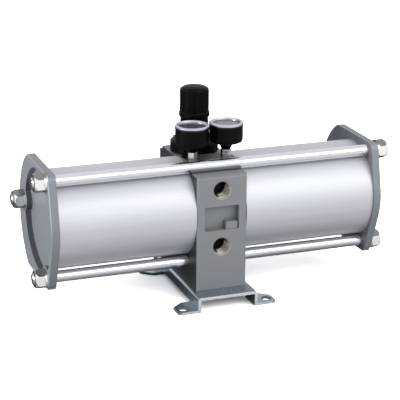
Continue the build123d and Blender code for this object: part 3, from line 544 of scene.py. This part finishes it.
rod_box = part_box("tie_rods")
ROD_RADIUS = 6.25 * MM
ROD_CENTRES = ((-32.86, 149.98), (-25.99, 42.26), (61.27, 103.36))
rod_ends = []
for y, z in ROD_CENTRES:
    for side in (-1, 1):
        rod_ends.append((Vector((side * (rod_box[1].x - 1.75 * MM), y * MM, z * MM)), Vector((side, 0, 0))))
grow("rod_end_threads", thread, rod_ends,
     {"Radius": ROD_RADIUS, "Pitch": 0.75 * MM, "Turns": 2.0, "Depth": 0.22 * MM}, nut_steel)

# %% [markdown]
# Behind the walls six compression springs shorten as the valves and the range seat move.
# A spring is the same helix with a round wire, but its first and last turns lie flat, so that it stands square.
# Each one replaces its plain CAD node.

# %% Springs
def make_spring():
    spring = Grower("spring", ["Radius", "Height", "Turns", "Wire"])
    turns, height, wire = spring.size("Turns"), spring.size("Height"), spring.size("Wire")
    circle = spring.node("GeometryNodeCurveSpiral", None, {
        "Resolution": 24, "Rotations": turns, "Start Radius": spring.size("Radius"),
        "End Radius": spring.size("Radius"), "Height": 0.0})
    turn = spring.node("GeometryNodeSplineParameter", output="Factor") * turns
    rise = (height - wire * 2) / (turns - 2)
    open_turns = (turn - 1).math("MAXIMUM", 0).math("MINIMUM", turns - 2)
    closed = turn.math("MINIMUM", 1) + (turn - turns + 1).math("MAXIMUM", 0)
    lift = spring.node("ShaderNodeCombineXYZ", None, {"Z": open_turns * rise + closed * wire})
    path = spring.node("GeometryNodeSetPosition", None, {"Geometry": circle, "Offset": lift})
    path = spring.node("GeometryNodeSetCurveNormal", {"mode": "Z_UP"}, {"Curve": path})
    section = spring.node("GeometryNodeCurvePrimitiveCircle", {"mode": "RADIUS"}, {"Resolution": 10, "Radius": wire / 2})
    spring.finish(spring.node("GeometryNodeCurveToMesh", None,
                              {"Curve": path, "Profile Curve": section, "Fill Caps": True}))
    return spring


spring = make_spring()
TRAVEL = {joint["name"]: max(abs(end) for end in joint["range_m"])
          for joint in frame["record"]["behaviour"]["joints"] if "range_m" in joint}
SPRINGS = [("governor_spring", "seat_travel", 2.1 * MM, 5.5), ("valve_spring", "supply_valve_lift", 0.9 * MM, 5.0)]
SPRINGS += [(f"check_spring_{n}", f"check_valve_{n}_lift", 0.8 * MM, 5.0) for n in range(1, 5)]
for node, joint, wire, turns in SPRINGS:
    low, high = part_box(node)
    centre = (low + high) / 2
    foot = Vector((centre.x, centre.y, low.z + wire / 2))
    length = high.z - low.z
    coil = grow(f"{node}_coil", spring, [(foot, Vector((0, 0, 1)))],
                {"Radius": (high.x - low.x - wire) / 2, "Height": length - wire, "Turns": turns, "Wire": wire},
                spring_steel)
    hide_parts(node)
    1 - TRAVEL[joint] / length
    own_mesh(coil)

# %% [markdown]
# A dial has a scale of printed marks, long at the numbers and short between them.
# The marks are thin raised bars: points on an arc, each turned outwards, carry one bar.
# The scale runs over the same three quarter turn as the pointer does.

# %% Dial marks
def make_scale():
    scale = Grower("scale", ["Radius", "Count", "Length", "Width", "Lift"])
    arc = scale.node("GeometryNodeCurveArc", {"mode": "RADIUS"}, {
        "Resolution": scale.size("Count"), "Radius": scale.size("Radius"),
        "Start Angle": math.radians(-45), "Sweep Angle": math.radians(270)})
    points = scale.node("GeometryNodeCurveToPoints", {"mode": "EVALUATED"}, {"Curve": arc}, "Points")
    size = scale.node("ShaderNodeCombineXYZ", None,
                      {"X": scale.size("Length"), "Y": scale.size("Width"), "Z": scale.size("Lift")})
    bar = scale.node("GeometryNodeMeshCube", None, {"Size": size}, "Mesh")
    outward = scale.node("FunctionNodeAlignRotationToVector", {"axis": "X", "pivot_axis": "Z"},
                         {"Vector": scale.node("GeometryNodeInputPosition")}, "Rotation")
    bars = scale.node("GeometryNodeInstanceOnPoints", None,
                      {"Points": points, "Instance": bar, "Rotation": outward}, "Instances")
    scale.finish(bars)
    return scale


scale = make_scale()
DIAL_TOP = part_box("gauge_dials")[1].z
DIALS = []
for side in ("left", "right"):
    low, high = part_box(f"{side}_gauge_case")
    DIALS.append(Vector(((low.x + high.x) / 2, (low.y + high.y) / 2, DIAL_TOP)))
dial_places = [(centre, Vector((0, 0, 1))) for centre in DIALS]
dial_print = make_plastic("dial_print", (0.56, 0.56, 0.54), 0.5, 0.00001)
MARK_LIFT = 0.1 * MM
grow("dial_long_marks", scale, dial_places,
     {"Radius": 12.9 * MM, "Count": 6.0, "Length": 3.0 * MM, "Width": 0.6 * MM, "Lift": MARK_LIFT},
     dial_print)
grow("dial_short_marks", scale, dial_places,
     {"Radius": 13.6 * MM, "Count": 26.0, "Length": 1.6 * MM, "Width": 0.35 * MM, "Lift": MARK_LIFT},
     dial_print)


# %% Dial numbers
def number_mesh(text, place, size):
    """A number as a thin solid mesh, centred on a place."""
    letters = bpy.data.curves.new(text, "FONT")
    letters.body = text
    letters.size = size
    letters.extrude = MARK_LIFT / 2
    letters.align_x, letters.align_y = "CENTER", "CENTER"
    carrier = bpy.data.objects.new(text, letters)
    bpy.context.scene.collection.objects.link(carrier)
    graph = bpy.context.evaluated_depsgraph_get()
    mesh = bpy.data.meshes.new_from_object(carrier.evaluated_get(graph))
    mesh.transform(Matrix.Translation(place))
    bpy.data.objects.remove(carrier)
    return mesh


def join_meshes(name, meshes, material, body="frame"):
    """One piece from several meshes whose places are already in them."""
    points, faces = [], []
    for mesh in meshes:
        start = len(points)
        points += [tuple(v.co) for v in mesh.vertices]
        faces += [[start + index for index in face.vertices] for face in mesh.polygons]
    joined = bpy.data.meshes.new(name)
    joined.from_pydata(points, [], faces)
    joined.materials.append(material)
    piece = bpy.data.objects.new(name, joined)
    bpy.context.scene.collection.objects.link(piece)
    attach(piece, body)
    print(name, len(faces), "faces")


numbers = []
for centre in DIALS:
    for step in range(6):
        angle = math.radians(225 - 54 * step)
        spot = Vector((math.cos(angle), math.sin(angle), 0)) * 9.2 * MM
        numbers.append(number_mesh(str(step * 2), centre + spot, 3.0 * MM))
join_meshes("dial_numbers", numbers, dial_print)

# %% [markdown]
# The picture was taken with a long lens, from the left and a little above.
# The camera's place and turn come from fitting known corners of the booster to the picture.
# It is built from its own three axes, because that keeps the small roll.

# %% Camera
YAW, PITCH, ROLL = (math.radians(angle) for angle in (20.35, 18.25, -0.45))
CAMERA_PLACE = Vector((-0.5504, -1.4693, 0.6176))
FOCAL_PIXELS = 1507.4
IMAGE_WIDTH = 400
SENSOR = 36.0

ahead = Vector((math.sin(YAW) * math.cos(PITCH), math.cos(YAW) * math.cos(PITCH), -math.sin(PITCH)))
level = Vector((math.cos(YAW), -math.sin(YAW), 0))
upward = level.cross(ahead)
right = math.cos(ROLL) * level - math.sin(ROLL) * upward
top = math.sin(ROLL) * level + math.cos(ROLL) * upward

camera_data = bpy.data.cameras.new("camera")
camera_data.sensor_width = SENSOR
camera_data.lens = FOCAL_PIXELS / IMAGE_WIDTH * SENSOR
camera_data.clip_end = 20
camera = bpy.data.objects.new("camera", camera_data)
bpy.context.scene.collection.objects.link(camera)
turn = Matrix((right, top, -ahead)).transposed().to_4x4()
camera.matrix_world = Matrix.Translation(CAMERA_PLACE) @ turn
bpy.context.scene.camera = camera
print("lens", round(camera_data.lens, 1), "mm")

# %% [markdown]
# The studio is a white floor in white air.
# The camera's own rays see the floor brighter than it is, so it clears to white and only the shadow stays.
# Every other ray meets a pale card in front of the booster and a dark floor behind it.
# The card is what whitens the nuts' front flats, while their end faces mirror the dark floor and carry painted shade
# too.

# %% Floor
FLOOR_DARK = 0.16
FLOOR_CARD = 0.90
FLOOR_SEEN = 2.6
CARD_EDGE = -0.05


def make_floor():
    finish = Finish("floor_white")
    seen = finish.node("ShaderNodeLightPath", output="Is Camera Ray")
    depth = finish.axes()[1]
    behind = finish.ramp(depth + finish.noise(3, 2.0) * 0.05, CARD_EDGE - 0.1, CARD_EDGE + 0.1)
    plain = finish.mix(behind, rgb(*[FLOOR_CARD] * 3), rgb(*[FLOOR_DARK] * 3))
    colour = finish.mix(seen, plain, rgb(*[FLOOR_SEEN] * 3))
    return finish.done(Base_Color=colour, Roughness=0.95, Specular_IOR_Level=0.0)


floor_mesh = bpy.data.meshes.new("floor")
EXTENT = 6.0
corners = [(-EXTENT, -EXTENT, 0), (EXTENT, -EXTENT, 0), (EXTENT, EXTENT, 0), (-EXTENT, EXTENT, 0)]
floor_mesh.from_pydata(corners, [], [(0, 1, 2, 3)])
floor_mesh.materials.append(make_floor())
floor = bpy.data.objects.new("floor", floor_mesh)
bpy.context.scene.collection.objects.link(floor)

# %% [markdown]
# The air is a wide tent: even overhead, dimmer to the left, so faces turned that way mirror something dark.
# A brighter screen low at the back is what the gauge glasses and the tops of the tubes mirror.
# A world has no surface, so its coordinates are simply the direction a ray leaves in.

# %% World
def make_world():
    world = bpy.data.worlds.new("studio")
    finish = Finish("studio", world)
    across, behind, upward = finish.axes()
    seen = 0
    for ray in ("Is Camera Ray", "Is Glossy Ray", "Is Transmission Ray"):
        seen = finish.node("ShaderNodeLightPath", output=ray).math("MAXIMUM", seen)
    tent = 0.42 + 0.20 * finish.ramp(upward, 0.0, 0.7)
    left = finish.ramp(0 - across, 0.1, 0.7)
    screen = finish.ramp(behind, 0.3, 0.8) * (1 - finish.ramp(upward, 0.35, 0.6))
    strength = tent * (1 - left * 0.2) + screen * 0.5
    strength = strength * (1 - seen) + seen
    shade = finish.node("ShaderNodeBackground", None, {"Color": rgb(0.98, 0.98, 1.0), "Strength": strength})
    finish.node("ShaderNodeOutputWorld", None, {"Surface": shade})
    return world


bpy.context.scene.world = make_world()


# %% Lamps
def lamp(name, place, target, size, power):
    data = bpy.data.lights.new(name, "AREA")
    data.shape = "RECTANGLE"
    data.size, data.size_y = size
    data.energy = power
    item = bpy.data.objects.new(name, data)
    item.location = place
    item.rotation_euler = (Vector(target) - Vector(place)).to_track_quat("-Z", "Y").to_euler()
    bpy.context.scene.collection.objects.link(item)
    return item


MIDDLE = (0, 0, 0.1)
lamp("key", (0.55, -1.25, 0.95), MIDDLE, (1.6, 0.9), 13.5)
lamp("left", (-1.6, -0.05, 0.45), MIDDLE, (0.4, 0.4), 16)

scene = bpy.context.scene
scene.view_settings.view_transform = "Standard"

# %% Sizes as plain numbers
def plain(box):
    return [[float(number) for number in corner] for corner in box]
